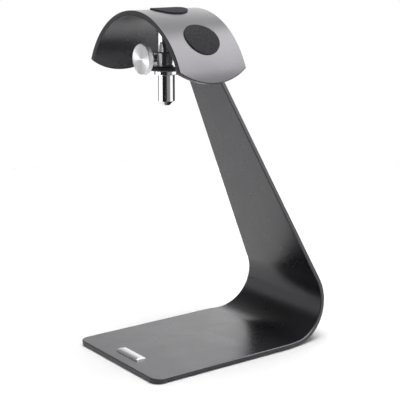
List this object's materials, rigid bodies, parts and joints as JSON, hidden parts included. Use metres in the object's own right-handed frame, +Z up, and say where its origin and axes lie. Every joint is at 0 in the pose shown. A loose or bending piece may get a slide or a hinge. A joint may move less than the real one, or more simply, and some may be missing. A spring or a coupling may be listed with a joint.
{
  "type": "headphone table stand",
  "caption": "Headphone table stand: bent tapered steel strip whose forward tongue clamps a round post, which slides and swivels and carries a curved padded saddle.",
  "frame": {"origin": "on the table under the middle of the stand, at the bottom centre of its box", "axes": "+Z up, +Y from the front edge of the base towards the bend and leg, +X across the stand"},
  "size_m": [0.1422, 0.194, 0.3037],
  "materials": {
    "anthracite_coat": "fine satin anthracite powder coat",
    "polished_steel": "polished bright steel",
    "turned_steel": "turned face, finely knurled rim",
    "plain_steel": "plain zinc-plated steel",
    "badge_metal": "bright satin, left blank",
    "pad_rubber": "fine-grained soft cellular rubber",
    "foot_rubber": "matt non-slip rubber",
    "liner_plastic": "black acetal",
    "tip_brass": "turned brass"
  },
  "bodies": {
    "stand": {"stand_strip": "anthracite_coat", "foot_front_left": "foot_rubber", "foot_front_right": "foot_rubber", "foot_rear_left": "foot_rubber", "foot_rear_right": "foot_rubber", "badge_plate": "badge_metal", "clamp_collar": "polished_steel", "ring_nut": "polished_steel", "lock_washer": "plain_steel"},
    "swivel": {"upper_liner": "liner_plastic", "lower_liner": "liner_plastic"},
    "carriage": {"post": "polished_steel", "saddle": "anthracite_coat", "saddle_screw": "plain_steel", "pad_left": "pad_rubber", "pad_top": "pad_rubber", "pad_right": "pad_rubber"},
    "clamp_tip": {"pressure_pad": "tip_brass"},
    "thumb_screw": {"thumb_screw_stud": "plain_steel", "thumb_screw_head": "turned_steel"}
  },
  "joints": [
    {"name": "saddle_swivel", "type": "hinge", "parent": "stand", "child": "swivel", "pos_m": [0, -0.04156, 0.267], "axis": [0, 0, 1], "continuous": true},
    {"name": "post_lift", "type": "slide", "parent": "swivel", "child": "carriage", "axis": [0, 0, 1], "range_m": [-0.015, 0.02]},
    {"name": "clamp_feed", "type": "slide", "parent": "stand", "child": "clamp_tip", "axis": [0, -1, 0], "range_m": [0, 0.0015]},
    {"name": "thumb_turn", "type": "hinge", "parent": "clamp_tip", "child": "thumb_screw", "pos_m": [0, -0.04156, 0.262], "axis": [0, -1, 0], "range_deg": [0, 540]}
  ],
  "couplings": [
    {"joint": "thumb_turn", "follows": "clamp_feed", "rad_per_m": 6283.2}
  ]
}
